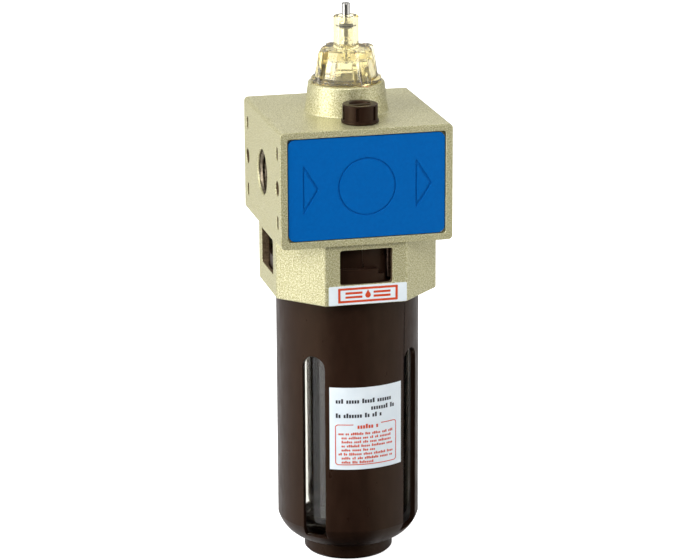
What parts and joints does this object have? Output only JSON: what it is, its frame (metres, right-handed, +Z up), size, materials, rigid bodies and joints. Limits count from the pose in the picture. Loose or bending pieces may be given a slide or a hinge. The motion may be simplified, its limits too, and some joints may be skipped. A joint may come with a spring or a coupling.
{
  "type": "compressed air oil-mist lubricator",
  "caption": "In-line compressed air lubricator: square cast head with threaded ports, slotted bowl guard, clear oil bowl, drip sight dome with needle.",
  "frame": {"origin": "centre of the bowl guard's bottom face, on which the object stands", "axes": "+Z up along the bowl and dome axis, -Y the front with the label, air flows from the -X port to the +X port"},
  "size_m": [0.08, 0.08, 0.2635],
  "materials": {
    "cast_metal": "satin metallic champagne paint over fine cast grain",
    "blue_plate": "satin blue moulded plate",
    "label": "white printed film",
    "steel": "bright",
    "chrome": "polished",
    "grey_acetal": "moulded",
    "brass": "turned",
    "nylon_tube": "natural nylon",
    "sintered_bronze": "sintered, matt",
    "clear_bowl": "clear polycarbonate",
    "rubber": "matt black nitrile",
    "dark_nylon": "semi-gloss black-brown",
    "amber_dome": "clear, pale amber"
  },
  "bodies": {
    "head": {"head_body": "cast_metal", "front_plate": "blue_plate", "rear_plate": "blue_plate", "front_label": "label", "bayonet_stop_pin": "steel", "flow_insert": "grey_acetal", "vane_pin": "steel", "vane_spring": "steel", "siphon_adaptor": "brass", "siphon_tube": "nylon_tube", "tube_strainer": "sintered_bronze", "charge_valve_seat": "brass", "charge_valve_spring": "steel", "dome_inner_o_ring": "rubber"},
    "dome_seal": {"dome_o_ring": "rubber"},
    "dome": {"sight_dome": "amber_dome", "drip_nozzle": "steel"},
    "needle_seal": {"needle_o_ring": "rubber"},
    "needle": {"adjusting_needle": "chrome"},
    "plug_seal": {"filler_o_ring": "rubber"},
    "plug": {"filler_plug": "dark_nylon"},
    "bowl_and_guard": {"bowl_guard": "dark_nylon", "bowl": "clear_bowl", "bowl_o_ring": "rubber", "guard_label": "label"},
    "drain_seal": {"drain_o_ring": "rubber"},
    "drain": {"drain_screw": "brass"},
    "vane": {"flow_vane": "grey_acetal"},
    "siphon_check": {"check_ball": "steel"},
    "charge_check": {"charge_valve_ball": "steel"}
  },
  "joints": [
    {"name": "dome_lift", "type": "slide", "parent": "head", "child": "dome_seal", "axis": [0, 0, 1], "range_m": [0, 0.0091]},
    {"name": "dome_turn", "type": "hinge", "parent": "dome_seal", "child": "dome", "pos_m": [0, 0, 0.22], "axis": [0, 0, 1], "range_deg": [0, 2160]},
    {"name": "needle_lift", "type": "slide", "parent": "dome", "child": "needle_seal", "axis": [0, 0, 1], "range_m": [0, 0.00145]},
    {"name": "needle_turn", "type": "hinge", "parent": "needle_seal", "child": "needle", "pos_m": [0, 0, 0.2531], "axis": [0, 0, 1], "range_deg": [0, 720]},
    {"name": "plug_lift", "type": "slide", "parent": "head", "child": "plug_seal", "axis": [0, 0, 1], "range_m": [0, 0.0076]},
    {"name": "plug_turn", "type": "hinge", "parent": "plug_seal", "child": "plug", "pos_m": [0, -0.0266, 0.2134], "axis": [0, 0, 1], "range_deg": [0, 1800]},
    {"name": "guard_turn", "type": "hinge", "parent": "head", "child": "bowl_and_guard", "pos_m": [0, 0, 0.14], "axis": [0, 0, -1], "range_deg": [0, 45]},
    {"name": "drain_drop", "type": "slide", "parent": "bowl_and_guard", "child": "drain_seal", "axis": [0, 0, -1], "range_m": [0, 0.00305]},
    {"name": "drain_turn", "type": "hinge", "parent": "drain_seal", "child": "drain", "pos_m": [0, 0, 0.006], "axis": [0, 0, -1], "range_deg": [0, 1080]},
    {"name": "vane_swing", "type": "hinge", "parent": "head", "child": "vane", "pos_m": [-0.005, 0, 0.1812], "axis": [0, 1, 0], "range_deg": [0, 40], "stiffness_Nm_per_rad": 0.004},
    {"name": "siphon_check_lift", "type": "slide", "parent": "head", "child": "siphon_check", "axis": [0, 0, 1], "range_m": [0, 0.001]},
    {"name": "charge_check_drop", "type": "slide", "parent": "head", "child": "charge_check", "axis": [0, 0, -1], "range_m": [0, 0.0008], "stiffness_N_per_m": 60, "deforming": ["charge_valve_spring"]}
  ],
  "couplings": [
    {"joint": "dome_lift", "follows": "dome_turn", "m_per_rad": 0.00023873},
    {"joint": "needle_lift", "follows": "needle_turn", "m_per_rad": 0.00011141},
    {"joint": "plug_lift", "follows": "plug_turn", "m_per_rad": 0.00023873},
    {"joint": "drain_drop", "follows": "drain_turn", "m_per_rad": 0.00015915}
  ]
}
